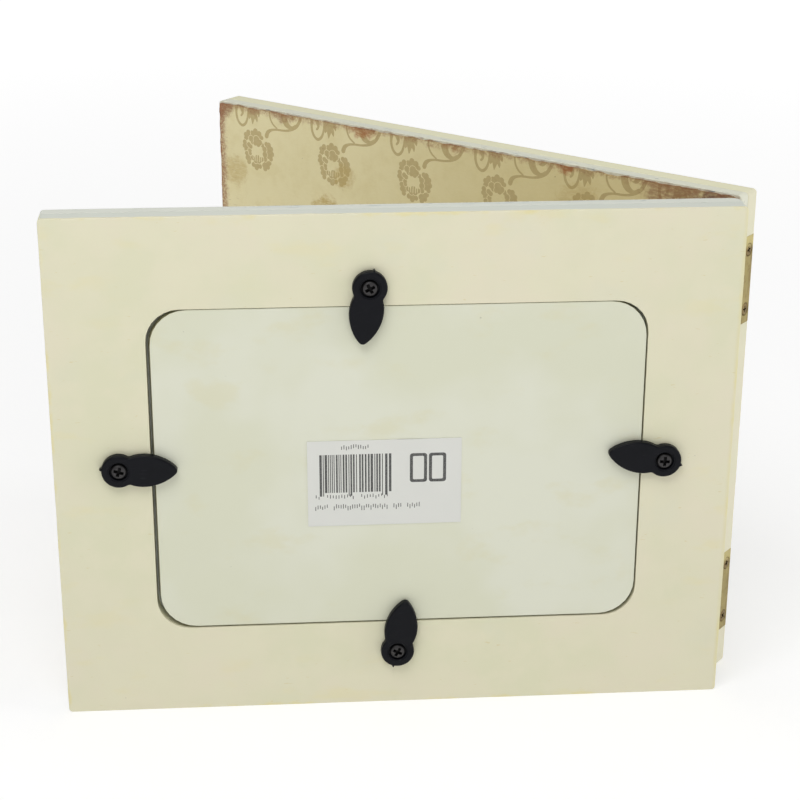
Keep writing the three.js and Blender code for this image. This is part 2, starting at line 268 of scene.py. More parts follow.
class Look:
    """A material with one Principled shader, and short calls for the nodes that feed it."""

    def __init__(self, name, **fixed):
        self.material = bpy.data.materials.new(name)
        self.material.use_nodes = True
        self.tree = self.material.node_tree
        self.shader = self.tree.nodes["Principled BSDF"]
        self.leaf = self.node("Attribute", {}, output="Vector", attribute_name="leaf")
        self.x, self.y, self.z = self.split(self.leaf)
        for socket, value in fixed.items():
            self.shader.inputs[socket.replace("_", " ")].default_value = value

    def put(self, socket, value):
        if isinstance(value, bpy.types.NodeSocket):
            self.tree.links.new(value, socket)
        else:
            socket.default_value = value

    def node(self, kind, inputs, output=0, **settings):
        made = self.tree.nodes.new("ShaderNode" + kind)
        for key, value in settings.items():
            setattr(made, key, value)
        for key, value in inputs.items():
            self.put(made.inputs[key], value)
        return made.outputs[output]

    def split(self, vector):
        separate = self.tree.nodes.new("ShaderNodeSeparateXYZ")
        self.tree.links.new(vector, separate.inputs[0])
        return separate.outputs

    def maths(self, operation, first, second=0.0, third=0.0):
        inputs = {0: first, 1: second, 2: third}
        return self.node("Math", inputs, operation=operation)

    def noise(self, size, detail=3.0, stretch=(1, 1, 1), rough=0.55, offset=0.0):
        """Noise of 0 to 1 whose features are about size millimetres wide, longer where stretch is more."""
        scale = tuple(1 / (size * s) for s in stretch)
        inputs = {"Vector": self.leaf, "Scale": scale, "Location": (offset, 0, offset)}
        where = self.node("Mapping", inputs)
        return self.node("TexNoise", {"Vector": where, "Scale": 1, "Detail": detail, "Roughness": rough})

    def between(self, value, low, high):
        """0 below low and 1 above high, smooth between them. It falls where low is above high."""
        inputs = {0: value, 1: min(low, high), 2: max(low, high)}
        inputs.update({3: 0.0, 4: 1.0} if low < high else {3: 1.0, 4: 0.0})
        return self.node("MapRange", inputs, interpolation_type="SMOOTHSTEP")

    def patches(self, low, high, size, *texture, **more):
        """0 to 1 in patches, where noise of a size is between low and high."""
        return self.between(self.noise(size, *texture, **more), low, high)

    def varied(self, low, high, size, *texture, **more):
        """A number that noise of a size takes unevenly from low to high."""
        inputs = {0: self.noise(size, *texture, **more), 1: 0.25, 2: 0.75, 3: low, 4: high}
        return self.node("MapRange", inputs)

    def times(self, *values):
        product = values[0]
        for value in values[1:]:
            product = self.maths("MULTIPLY", product, value)
        return product

    def mix(self, share, first, second):
        return self.node("Mix", {0: share, 6: first, 7: second}, output=2, data_type="RGBA")

    def over(self, below, colour, *shares):
        """A colour laid over another, as strongly as all its shares together."""
        return self.mix(self.times(*shares), below, colour)

    def uneven(self, distance, amount, size, detail=3.0, rough=0.55):
        """A distance in millimetres, made longer in places by up to an amount."""
        return self.maths("MULTIPLY_ADD", self.noise(size, detail, rough=rough), amount, distance)

    def rim(self, ragged=0.0, size=5.0):
        """Distance in millimetres from the nearest outer edge of the leaf, roughened by noise."""
        across = self.maths("MINIMUM", self.x, self.maths("SUBTRACT", LENGTH, self.x))
        up = self.maths("MINIMUM", self.z, self.maths("SUBTRACT", HEIGHT, self.z))
        distance = self.maths("MINIMUM", across, up)
        if not ragged:
            return distance
        shift = self.maths("SUBTRACT", self.noise(size, 4.0), 0.5)
        return self.maths("MULTIPLY_ADD", shift, ragged, distance)

    def specks(self, cell, radius, share):
        """1 on scattered round specks, in a share of the cells, and 0 elsewhere."""
        where = self.node("Mapping", {"Vector": self.leaf, "Scale": (1 / cell, 1 / cell, 1 / cell)})
        distance = self.node("TexVoronoi", {"Vector": where, "Scale": 1}, output="Distance")
        spot = self.between(distance, radius / cell, 0.5 * radius / cell)
        pick = self.split(distance.node.outputs["Color"])[0]
        return self.times(spot, self.between(pick, 1 - share, 1 - share + 0.01))

    def bump(self, height, distance, below=None):
        inputs = {"Height": height, "Distance": distance * MM, "Strength": 1.0}
        if below is not None:
            inputs["Normal"] = below
        return self.node("Bump", inputs)

    def done(self, colour, roughness, normal=None):
        self.put(self.shader.inputs["Base Color"], colour)
        self.put(self.shader.inputs["Roughness"], roughness)
        if normal is not None:
            self.put(self.shader.inputs["Normal"], normal)
        return self.material


def painted_bump(look):
    """The faint orange peel and brush drag of satin paint on board."""
    drag = look.bump(look.noise(1.1, 2.0, stretch=(7, 1, 1)), 0.012)
    return look.bump(look.noise(1.8, 2.0), 0.02, drag)


def cream_paint(wrap):
    """Cream coat on a back ring. On the ring's outer edges it reaches wrap millimetres from the back."""
    look = Look(f"cream_paint_{wrap:.0f}", Specular_IOR_Level=0.3)
    coat = look.mix(look.patches(0.38, 0.62, 42), rgb(230, 224, 198), rgb(225, 223, 193))
    coat = look.over(coat, rgb(229, 225, 197), look.patches(0.4, 0.7, 13, 3.0, offset=2.6))
    reach = look.maths("SUBTRACT", DEPTH, look.y)
    on_back = look.between(reach, 0.6, 0.1)
    blotch = look.patches(0.56, 0.7, 13, 4.0, stretch=(1.8, 1, 0.8), offset=4.1)
    near_edge = look.times(look.between(look.rim(), 34, 3), on_back)
    coat = look.over(coat, rgb(230, 221, 172), blotch, near_edge, 0.35)
    smudge = look.patches(0.56, 0.74, 22, 3.0, offset=9.7)
    coat = look.over(coat, rgb(219, 221, 201), smudge, 0.2)
    here = look.patches(0.48, 0.64, 13, 3.0, offset=5.5)
    line = look.times(look.between(look.rim(2.4, 4), 1.3, 0.3), here, on_back, 0.7)
    coat = look.over(coat, rgb(229, 219, 164), line)
    beside_hinges = look.between(look.uneven(look.x, 1.4, 12), 2.3, 0.9)
    coat = look.over(coat, rgb(227, 218, 165), beside_hinges, on_back, 0.45)
    on_edge = look.times(look.between(reach, 0.6, 1.2), look.between(look.x, 0.5, 1.2), 0.7)
    coat = look.over(coat, rgb(238, 236, 201), on_edge)
    dash = look.patches(0.72, 0.78, 1.5, 2.0, stretch=(2.4, 1, 0.6), offset=7.7)
    coat = look.over(coat, rgb(216, 202, 146), dash, on_back, 0.5)
    coat = look.over(coat, rgb(160, 156, 138), look.specks(11, 0.35, 0.25), 0.6)
    coat = look.over(coat, rgb(150, 150, 140), look.specks(6.3, 0.22, 0.2), 0.55)
    edge = look.mix(look.noise(20), rgb(221, 223, 212), rgb(213, 218, 208))
    ragged = look.uneven(reach, 1.2, 4, 3.0)
    bare = look.times(look.between(ragged, wrap, wrap + 0.5), look.between(look.rim(), 0.3, 0.15))
    colour = look.mix(bare, coat, edge)
    roughness = look.varied(0.42, 0.56, 6, 3.0)
    return look.done(colour, roughness, painted_bump(look))


def edge_paint(name, light, dark):
    """Off-white coat on a face board, scuffed grey along its edges and brown near the inner face."""
    look = Look(name, Specular_IOR_Level=0.3)
    coat = look.mix(look.noise(26), light, dark)
    front = look.between(look.uneven(look.y, 1.6, 5, 4.0), 4.4, 3.4)
    scuff = look.patches(0.62, 0.7, 1.9, 3.0, stretch=(3.2, 0.3, 1), offset=3.3)
    coat = look.over(coat, rgb(128, 140, 146), scuff, front, 0.75)
    haze = look.patches(0.55, 0.7, 7, 4.0, stretch=(3.5, 0.6, 1), offset=1.1)
    coat = look.over(coat, rgb(194, 203, 205), haze, front, 0.25)
    brown = look.between(look.uneven(look.y, 0.7, 3, 4.0), 0.95, 0.65)
    flaked = look.patches(0.4, 0.56, 9, 3.0)
    coat = look.over(coat, rgb(150, 112, 82), brown, flaked, 0.8)
    roughness = look.varied(0.45, 0.6, 6, 3.0)
    return look.done(coat, roughness, painted_bump(look))


RUST = rgb(172, 112, 70)
UMBER = rgb(146, 100, 72)
OCHRE = rgb(192, 166, 100)
# Colour of the painted shade in the paper's hinge corners
HINGE_SHADE_PLUM = rgb(116, 78, 72)

# Stains on the facing papers, as (x, z, radius, strength, colour) in leaf coordinates. The two plum entries
# at the hinge edge, top and bottom, are painted shade in the corner between the leaves.
STAINS_AND_SHADE = (
    (218, 172, 6.5, 0.85, UMBER),
    (203, 174.5, 6, 0.5, UMBER),
    (189, 174.2, 6.5, 0.7, UMBER),
    (151, 172.5, 5.6, 0.85, RUST),
    (158, 174.5, 5, 0.5, RUST),
    (112, 175.2, 6.5, 0.5, RUST),
    (65, 173.2, 4.8, 0.95, RUST),
    (168, 136, 7.5, 0.85, OCHRE),
    (146, 138, 6, 0.7, OCHRE),
    (160, 152, 5, 0.5, OCHRE),
    (212, 146, 6, 0.5, OCHRE),
    (60, 158, 9, 0.35, OCHRE),
    (24, 170, 12, 0.7, UMBER),
    # Painted shade: dark plum patches in the top and bottom hinge corners, where the leaves shade the paper.
    (6, 164, 11, 0.85, HINGE_SHADE_PLUM),
    (4, 12, 13, 0.8, HINGE_SHADE_PLUM),
    (214, 4, 12, 0.85, UMBER),
    (130, -1, 7, 0.8, RUST),
    (62, -2, 9, 0.8, UMBER),
    (218, 80, 6, 0.7, UMBER),
    (201, 40, 7, 0.5, OCHRE),
)


def stained_or_shaded(look, sheet, stain_or_shade):
    """One dry, speckled patch with a crisp ragged border. Most entries are real stains; the plum ones at the
    hinge edge are painted shade.
    """
    x, z, radius, strength, colour = stain_or_shade
    away = look.node("VectorMath", {0: look.leaf, 1: (x, 0, z)}, output="Value", operation="DISTANCE")
    border = look.uneven(away, 1.6 * radius, 3.2, 6.0, rough=0.7)
    spot = look.between(border, 1.95 * radius, 1.45 * radius)
    dry = look.patches(0.2, 0.6, 0.8, 4.0, stretch=(3, 1, 1), rough=0.7, offset=x)
    return look.over(sheet, colour, spot, strength, dry)


def printed_paper():
    """Aged cream paper with a tone-on-tone print, red-brown stains along its rubbed edges, and painted shade
    that darkens it towards the hinge and in the hinge corners.
    """
    look = Look("printed_paper", Specular_IOR_Level=0.2)
    sheet = look.mix(look.noise(40, 4.0), rgb(241, 231, 186), rgb(223, 211, 162))
    # Painted shade: the sheet turns darker and more tan towards the hinge, where the leaves close into a
    # corner.
    sheet = look.over(sheet, rgb(224, 209, 154), look.between(look.x, 190, 60))
    cloud = look.patches(0.42, 0.7, 8, 5.0, rough=0.65)
    sheet = look.over(sheet, rgb(214, 198, 138), cloud, 0.4)
    grain = look.noise(0.7, 3.0, stretch=(3, 1, 1))
    sheet = look.over(sheet, rgb(244, 238, 210), grain, 0.25)
    ink = look.node("Attribute", {}, output="Fac", attribute_name="ink")
    faded = look.varied(1.0, 0.72, 1.6, 4.0, rough=0.7)
    sheet = look.over(sheet, rgb(190, 171, 122), ink, faded)
    # Lays the stains, and the painted shade at the hinge corners, over the sheet.
    for stain_or_shade in STAINS_AND_SHADE:
        sheet = stained_or_shaded(look, sheet, stain_or_shade)
    flecked = look.patches(0.3, 0.62, 0.9, 4.0, rough=0.75)
    rubbed = look.times(look.between(look.rim(7.0, 3), 3.2, 0.8), flecked, 0.6)
    sheet = look.over(sheet, rgb(160, 112, 78), rubbed)
    to_end = look.maths("SUBTRACT", LENGTH, look.x)
    end = look.between(look.uneven(to_end, 6.0, 2.4, 5.0, rough=0.7), 7.6, 4.8)
    sheet = look.over(sheet, rgb(158, 110, 84), end, flecked, 0.85)
    scratch = look.patches(0.62, 0.7, 0.55, 3.0, stretch=(10, 1, 1), offset=8.0)
    near_end = look.between(look.x, LENGTH - 14, LENGTH - 3)
    sheet = look.over(sheet, rgb(150, 118, 80), scratch, near_end, 0.55)
    burnt = look.between(look.rim(1.5, 2.2), 1.1, 0.5)
    sheet = look.over(sheet, rgb(130, 90, 64), burnt, 0.6)
    sheet = look.over(sheet, rgb(140, 108, 74), look.specks(5, 0.3, 0.25), 0.5)
    roughness = look.varied(0.55, 0.75, 3, 3.0)
    normal = look.bump(look.noise(0.5, 3.0), 0.012, look.bump(look.noise(14, 3.0), 0.05))
    return look.done(sheet, roughness, normal)


def backing_paint():
    """Smooth pale coat on hardboard, with raw olive fibre on the cut edge."""
    look = Look("backing_board", Specular_IOR_Level=0.3)
    coat = look.mix(look.patches(0.38, 0.62, 50), rgb(226, 227, 209), rgb(221, 222, 199))
    smudge = look.patches(0.55, 0.72, 15, 4.0, stretch=(1.4, 1, 0.8), offset=6.0)
    coat = look.over(coat, rgb(220, 216, 180), smudge, 0.4)
    coat = look.over(coat, rgb(168, 166, 146), look.specks(14, 0.4, 0.2), 0.5)
    coat = look.over(coat, rgb(158, 158, 144), look.specks(6.1, 0.2, 0.15), 0.5)
    back = span("right", "right_backing_board")[1].y
    cut = look.between(look.y, back - 0.1, back - 0.25)
    fibre = look.mix(look.noise(1.2, 4.0, stretch=(1, 0.3, 1)), rgb(166, 162, 134), rgb(142, 138, 108))
    colour = look.mix(cut, coat, fibre)
    roughness = look.varied(0.4, 0.55, 9, 3.0)
    return look.done(colour, roughness, look.bump(look.noise(2.2, 2.0), 0.012))


def label_paper():
    """White sticker paper with dark grey print."""
    look = Look("label_paper", Specular_IOR_Level=0.4)
    sheet = look.mix(look.noise(18), rgb(225, 225, 219), rgb(219, 220, 214))
    ink = look.node("Attribute", {}, output="Fac", attribute_name="ink")
    dense = look.varied(0.82, 1.0, 0.5, 2.0)
    colour = look.over(sheet, rgb(52, 52, 52), ink, dense)
    roughness = look.varied(0.35, 0.5, 3, 2.0)
    return look.done(colour, roughness, look.bump(look.noise(0.4, 2.0), 0.004))


def black_plastic():
    """Semi-gloss moulded plastic with faint handling marks."""
    look = Look("black_plastic", Specular_IOR_Level=0.12)
    colour = look.mix(look.noise(4, 4.0), rgb(19, 20, 25), rgb(14, 15, 19))
    scratch = look.patches(0.66, 0.74, 0.5, 2.0, stretch=(9, 1, 1))
    colour = look.over(colour, rgb(48, 49, 54), scratch, 0.2)
    roughness = look.varied(0.3, 0.46, 1.5, 3.0)
    return look.done(colour, roughness, look.bump(look.noise(0.6, 2.0), 0.008))


def screw_steel():
    """Blackened steel, rubbed brighter in patches."""
    look = Look("screw_steel", Metallic=0.75)
    colour = look.mix(look.noise(0.9, 4.0), rgb(76, 74, 74), rgb(54, 53, 54))
    top = span("right", "right_button_screw_top")[1].y
    colour = look.over(colour, rgb(16, 15, 15), look.between(look.y, top - 0.2, top - 0.5))
    roughness = look.varied(0.38, 0.6, 0.5, 3.0)
    return look.done(colour, roughness, look.bump(look.noise(0.3, 2.0), 0.01))


def aged_brass(name, bright, dull, grime_and_shade):
    """Brass with brown tarnish in patches and along its edges, fine scratches along its length, and painted
    shade in the same brown on all that lies more than 0.3 mm below its face, such as the screws' cross
    recesses.
    """
    look = Look(name, Metallic=0.8)
    colour = look.mix(look.noise(6, 4.0), bright, dull)
    patch = look.patches(0.52, 0.7, 2.6, 5.0, rough=0.7, offset=2.0)
    colour = look.over(colour, grime_and_shade, patch, 0.45)
    rust = look.patches(0.42, 0.6, 3.5, 4.0, stretch=(1, 1, 2), offset=6.0)
    colour = look.over(colour, grime_and_shade, look.between(look.y, DEPTH - 2.2, DEPTH - 1.2), rust, 0.35)
    # A lighter brass colour in a band across the top end of each hinge.
    for level in ("upper", "lower"):
        top = span("left", f"left_hinge_plate_{level}")[1].z
        hinge_top_band = look.times(look.between(look.z, top - 5, top - 2.5), look.between(look.z, top + 6, top + 4))
        colour = look.over(colour, rgb(210, 198, 138), hinge_top_band, 0.6)
    # Painted shade: all that lies more than 0.3 mm below the face, the screws' cross recesses and the plates'
    # countersinks, is darkened to the same dark brown.
    colour = look.over(colour, grime_and_shade, look.between(look.x, 0.1, 0.3))
    scratch = look.noise(0.35, 2.0, stretch=(1, 1, 14))
    roughness = look.varied(0.4, 0.6, 2.0, 4.0)
    normal = look.bump(scratch, 0.012, look.bump(look.noise(0.8, 3.0), 0.02))
    return look.done(colour, roughness, normal)


def clear_glass():
    """Plain float glass, faintly green, with a few dust specks. It lets the lamps light what it covers."""
    look = Look("clear_glass", Roughness=0.02, IOR=1.5)
    look.shader.inputs["Transmission Weight"].default_value = 1.0
    tint = look.mix(look.noise(60), rgb(246, 250, 248), rgb(240, 247, 244))
    dust = look.varied(0.01, 0.04, 0.7, 2.0)
    look.done(tint, dust)
    output = look.tree.nodes["Material Output"]
    lamps = look.node("LightPath", {}, output="Is Shadow Ray")
    through = look.node("BsdfTransparent", {"Color": rgb(244, 249, 246)})
    both = look.node("MixShader", {0: lamps, 1: look.shader.outputs[0], 2: through})
    look.tree.links.new(both, output.inputs["Surface"])
    return look.material


def insert_card():
    """The plain card that fills the window until a photo takes its place: grey field, pale border."""
    look = Look("insert_card", Specular_IOR_Level=0.3)
    low, high = span("right", "right_photo_card")
    middle_x, middle_z = (low.x + high.x) / 2, (low.z + high.z) / 2
    reach_x, reach_z = (high.x - low.x) / 2, (high.z - low.z) / 2
    across = look.maths("ABSOLUTE", look.maths("SUBTRACT", look.x, middle_x))
    up = look.maths("ABSOLUTE", look.maths("SUBTRACT", look.z, middle_z))
    from_end, from_top = look.maths("SUBTRACT", reach_x, across), look.maths("SUBTRACT", reach_z, up)
    inset = look.maths("MINIMUM", from_end, from_top)
    card = look.mix(look.noise(30), rgb(232, 230, 222), rgb(226, 224, 215))
    field = look.mix(look.between(look.z, low.z, high.z), rgb(196, 194, 184), rgb(211, 210, 202))
    colour = look.mix(look.between(inset, 13.8, 14.2), card, field)
    keyline = look.times(look.between(inset, 11.6, 11.8), look.between(inset, 12.4, 12.2))
    colour = look.over(colour, rgb(150, 146, 132), keyline)
    roughness = look.varied(0.5, 0.65, 4, 3.0)
    return look.done(colour, roughness, look.bump(look.noise(0.5, 3.0), 0.008))


# Boards ----------------------------------------------------

def rounded_levels(front, back, front_radius, back_radius):
    """Depths from front to back, close together where the edges are rounded."""
    steps = 5
    rise = [front + front_radius * (1 - math.cos(math.pi / 2 * k / steps)) for k in range(steps + 1)]
    fall = [back - back_radius * (1 - math.cos(math.pi / 2 * k / steps)) for k in range(steps, -1, -1)]
    return rise + fall


def worn(points, seed, amount):
    """Draws an outline in by a little, unevenly, as sanding does."""
    drawn = []
    for i, (x, z) in enumerate(points):
        before, after = points[i - 1], points[(i + 1) % len(points)]
        along = Vector((after[0] - before[0], after[1] - before[1])).normalized()
        inward = Vector((-along.y, along.x))
        depth = amount * (0.5 + wander(x, z, seed, 9, 0.7) + wander(x, z, seed + 5, 2.5, 0.35))
        drawn.append((x + inward.x * depth, z + inward.y * depth))
    return drawn


def board_with_hole(side, node, hole_radius, rounding, hole_rounding, seed):
    """A board of a leaf with its opening. rounding is (front, back, front beside the hinges)."""
    low, high = span(side, node)
    hole_low, hole_high = span(side, node, inner=True)
    front_radius, back_radius, hinge_radius = rounding
    loops = []
    for y in rounded_levels(low.y, high.y, max(front_radius, hinge_radius), back_radius):
        back = drawn_back(high.y - y, back_radius)
        inset = max(back, drawn_back(y - low.y, front_radius))
        hinge_inset = max(back, drawn_back(y - low.y, hinge_radius))
        corner = max(0.25, CORNER_RADIUS - inset)
        loop = outline((hinge_inset, inset), (LENGTH - inset, HEIGHT - inset), corner)
        loops.append(at_depth(worn(loop, seed, WEAR), y))
    for y in reversed(rounded_levels(low.y, high.y, hole_rounding[0], hole_rounding[1])):
        out = max(drawn_back(y - low.y, hole_rounding[0]), drawn_back(high.y - y, hole_rounding[1]))
        start = (hole_low.x - out, hole_low.z - out)
        end = (hole_high.x + out, hole_high.z + out)
        loops.append(at_depth(outline(start, end, hole_radius + out), y))
    return mesh_of([loft(loops, closed=True)])


def mortises(side):
    """Boxes that cut the recesses for both hinge plates, a little larger than the plates."""
    boxes = []
    for level in ("upper", "lower"):
        low, high = span(side, f"{side}_hinge_plate_{level}")
        through = 5 if high.y > DEPTH - 0.5 else PLATE_CLEARANCE
        start = (low.x - 5, low.y - 5, low.z - PLATE_CLEARANCE)
        end = (high.x + PLATE_CLEARANCE, high.y + through, high.z + PLATE_CLEARANCE)
        boxes.append(block(start, end))
    return boxes


def screw_bores(side):
    """Straight holes for the screws, just wider than their shanks."""
    bores = []
    for place in BUTTON_PLACES:
        low, high = span(side, f"{side}_button_screw_{place}")
        x, z = (low.x + high.x) / 2, (low.z + high.z) / 2
        radius = BUTTON_SHANK + BORE_CLEARANCE
        rod = [(radius, low.y - 0.2), (radius, high.y + 5)]
        bores.append(lathe(rod, lambda u, d, w, x=x, z=z: (x + u, d, z + w), 24))
    for level, mark in HINGE_SCREWS:
        low, high = span(side, f"{side}_hinge_screw_{level}_{mark}")
        y, z = (low.y + high.y) / 2, (low.z + high.z) / 2
        radius = HINGE_SHANK + BORE_CLEARANCE
        rod = [(radius, -5), (radius, high.x + 0.2)]
        bores.append(lathe(rod, lambda u, d, w, y=y, z=z: (d, y + u, z + w), 24))
    return bores


def face_board(side, look):
    node = f"{side}_face_board"
    rounding = (FRONT_EDGE, SEAM, INNER_HINGE_EDGE[side])
    mesh = board_with_hole(side, node, 0.6, rounding, (0.5, SEAM), 1.7)
    settle(carved(mesh, mortises(side)), side, node, look)


def back_ring(side, look):
    node = f"{side}_back_ring"
    mesh = board_with_hole(side, node, OPENING_RADIUS, (SEAM, BACK_EDGE, SEAM), (SEAM, 0.15), 8.2)
    cut = carved(mesh, mortises(side) + screw_bores(side))
    settle(cut, side, node, look)


def slab(low, high, radius, edge, steps=(LONG_STEPS, UPRIGHT_STEPS), lean=0.0):
    """A flat sheet with rounded corners and edges. Its far end leans out by lean towards the front."""
    loops = []
    for y in rounded_levels(low.y, high.y, edge, edge):
        inset = max(drawn_back(y - low.y, edge), drawn_back(high.y - y, edge))
        out = lean * (high.y - y) / (high.y - low.y)
        start, end = (low.x + inset, low.z + inset), (high.x - inset, high.z - inset)
        loop = outline(start, end, max(0.2, radius - inset), steps)
        leaned = [(x + out * max(0.0, (x - high.x) / LEAN_REACH + 1), z) for x, z in loop]
        loops.append(at_depth(leaned, y))
    return mesh_of([loft(loops)])


def backing_board(side, look):
    """Thin board whose sawn edge leans out below its face at the end away from the hinges."""
    node = f"{side}_backing_board"
    mesh = slab(*span(side, node), BACKING_RADIUS, 0.15, lean=SAWN_LEAN)
    settle(mesh, side, node, look)


def glass(side, look):
    node = f"{side}_glass"
    settle(slab(*span(side, node), 0.6, 0.15, (2, 2)), side, node, look)


def photo_card(side, look):
    node = f"{side}_photo_card"
    settle(slab(*span(side, node), 0.6, 0.08), side, node, look)


# Print -----------------------------------------------------

def winding(points, loop):
    """How many times a loop winds round each point."""
    x, z = points[:, 0:1], points[:, 1:2]
    start = np.array(loop, float)
    end = np.roll(start, -1, axis=0)
    left = (end[:, 0] - start[:, 0]) * (z - start[:, 1]) - (x - start[:, 0]) * (end[:, 1] - start[:, 1])
    rising = (start[:, 1] <= z) & (end[:, 1] > z) & (left > 0)
    falling = (start[:, 1] > z) & (end[:, 1] <= z) & (left < 0)
    return rising.sum(1) - falling.sum(1)


def inside_any(points, loops):
    """True for each point inside at least one of the loops."""
    found = np.zeros(len(points), bool)
    for loop in loops:
        corners = np.array(loop, float)
        low, high = corners.min(0), corners.max(0)
        near = np.flatnonzero(((points >= low) & (points <= high)).all(1))
        if len(near):
            found[near] |= winding(points[near], loop) != 0
    return found


def printed_sheet(edge, holes, layers, front, back):
    """A thin closed sheet, cut along the outlines of its print.

    layers are (ink, loops), laid one over the other. The face attribute "ink" is what the last layer over
    a face has, and 0 on bare paper.
    """
    corners, lines = [], []
    for loop in [edge, *holes, *(loop for _, loops in layers for loop in loops)]:
        first = len(corners)
        corners += [Vector(point) for point in loop]
        lines += [(first + i, first + (i + 1) % len(loop)) for i in range(len(loop))]
    flat, _, triangles, *_ = delaunay_2d_cdt(corners, lines, [], 0, 1e-4)
    centres = np.array([sum((flat[i] for i in t), Vector((0, 0))) / 3 for t in triangles])
    kept = inside_any(centres, [edge]) & ~inside_any(centres, holes)
    inked = np.zeros(len(centres))
    for value, loops in layers:
        inked[inside_any(centres, loops)] = value
    used = sorted({i for t, keep in zip(triangles, kept) if keep for i in t})
    number = {old: new for new, old in enumerate(used)}
    verts = [(flat[i].x, front, flat[i].y) for i in used] + [(flat[i].x, back, flat[i].y) for i in used]
    faces, ink, walls = [], [], {}
    for triangle, keep, value in zip(triangles, kept, inked):
        if not keep:
            continue
        a, b, c = (number[i] for i in triangle)
        faces += [(a, b, c), tuple(i + len(used) for i in (c, b, a))]
        ink += [float(value), 0.0]
        for start, end in ((a, b), (b, c), (c, a)):
            if (end, start) in walls:
                del walls[end, start]
            else:
                walls[start, end] = True
    faces += [(end, start, start + len(used), end + len(used)) for start, end in walls]
    ink += [0.0] * len(walls)
    mesh = bpy.data.meshes.new("sheet")
    mesh.from_pydata(verts, [], faces)
    mesh.attributes.new("ink", "FLOAT", "FACE").data.foreach_set("value", ink)
    return mesh


def disc(x, z, radius, steps=12):
    angles = [2 * math.pi * k / steps for k in range(steps)]
    return [(x + radius * math.cos(a), z + radius * math.sin(a)) for a in angles]


def petal(lobes, grow=0.0):
    """Outlines of a petal of round lobes, each (x, z, radius), joined by necks, all wider by grow."""
    lobes = [(x, z, radius + grow) for x, z, radius in lobes]
    loops = [disc(*lobe) for lobe in lobes]
    for (x0, z0, r0), (x1, z1, r1) in zip(lobes, lobes[1:]):
        across = Vector((z0 - z1, x1 - x0)).normalized() * 0.6
        a, b = across * r0, across * r1
        loops.append([(x0 + a.x, z0 + a.y), (x0 - a.x, z0 - a.y), (x1 - b.x, z1 - b.y), (x1 + b.x, z1 + b.y)])
    return loops


def smooth(points, steps=4):
    """Points on a smooth curve through the given ones, with their widths."""
    ends = [points[0], *points, points[-1]]
    found = []
    for i in range(1, len(ends) - 2):
        before, start, end, after = (np.array(p, float) for p in ends[i - 1:i + 3])
        for k in range(steps):
            t = k / steps
            found.append(0.5 * (2 * start + (end - before) * t
                                + (2 * before - 5 * start + 4 * end - after) * t * t
                                + (3 * start - before - 3 * end + after) * t ** 3))
    return found + [np.array(points[-1], float)]


def stroke(points):
    """Outline of a brush stroke through (x, z, half width) points, with round ends."""
    line = smooth(points)
    left, right = [], []
    for i, (x, z, half) in enumerate(line):
        along = line[min(i + 1, len(line) - 1)] - line[max(i - 1, 0)]
        across = Vector((-along[1], along[0])).normalized() * half
        left.append((x + across.x, z + across.y))
        right.append((x - across.x, z - across.y))
    return [left + right[::-1], disc(*line[0], 10), disc(*line[-1], 10)]


# One repeat of the print, in millimetres from the middle of its flower, with x towards the reader's right.
# A petal lies over the ones before it and leaves a fine bare line round itself.
PETALS = (
    ((-2.7, 5.5, 0.9), (-1.1, 6.4, 1.0), (0.7, 5.7, 0.95), (1.9, 4.4, 0.7), (0.2, 3.8, 1.2),
     (-1.2, 4.6, 1.3)),
    ((-4.6, 5.6, 0.85), (-5.9, 4.6, 0.8), (-5.9, 3.2, 0.75), (-4.5, 4.0, 1.1), (-3.4, 3.0, 0.8)),
    ((-6.5, 1.8, 0.8), (-6.7, 0.4, 0.75), (-6.0, -0.9, 0.65), (-5.4, 0.6, 1.1)),
    ((-5.6, -2.3, 0.8), (-5.4, -3.9, 0.8), (-4.6, -5.3, 0.8), (-4.2, -3.6, 1.1), (-4.6, -2.4, 0.9)),
    ((-2.4, -6.0, 0.8), (-0.9, -6.9, 0.9), (0.8, -6.2, 0.8), (-0.2, -5.4, 0.9), (-1.6, -5.4, 0.9)),
    ((3.3, -6.7, 0.85), (4.7, -5.9, 0.8), (5.5, -4.3, 0.8), (3.9, -4.6, 1.1), (2.9, -5.5, 0.9)),
    ((6.2, -2.7, 0.8), (6.8, -0.9, 0.85), (6.4, 0.9, 0.85), (5.3, 2.3, 0.85), (4.1, 2.4, 0.8),
     (4.8, 0.4, 1.3), (5.0, -1.6, 1.2)),
    ((2.0, 1.9, 0.75), (3.2, 0.4, 0.95), (3.3, -1.5, 1.0), (3.4, -3.2, 0.85)),
    ((-4.1, -1.0, 0.75), (-3.9, -2.1, 0.6)),
    ((-4.5, 1.1, 0.8), (-3.6, 0.5, 0.75)),
    ((-3.3, 3.4, 1.05), (-2.5, 2.3, 0.85)),
    ((-0.7, 3.4, 1.35), (0.9, 2.6, 1.0), (0.1, 1.8, 0.9), (-1.4, 2.0, 0.8)),
    ((-2.7, -3.5, 0.8), (-1.3, -4.4, 0.9), (0.4, -4.3, 0.9), (1.7, -3.5, 0.8), (-0.4, -3.3, 1.1)),
)
PETAL_GROWTH = 0.14
PETAL_LINE = 0.24
HEART = (0.3, -0.7, 1.55)
STAMENS = (
    ((-2.5, -3.9, 0.16), (-2.6, -2.1, 0.2)),
    ((-1.6, -4.4, 0.16), (-1.5, -2.1, 0.2)),
    ((-0.6, -4.6, 0.16), (-0.5, -2.2, 0.2)),
    ((0.5, -4.5, 0.16), (0.6, -2.3, 0.2)),
    ((1.4, -4.1, 0.16), (1.5, -2.6, 0.2)),
)
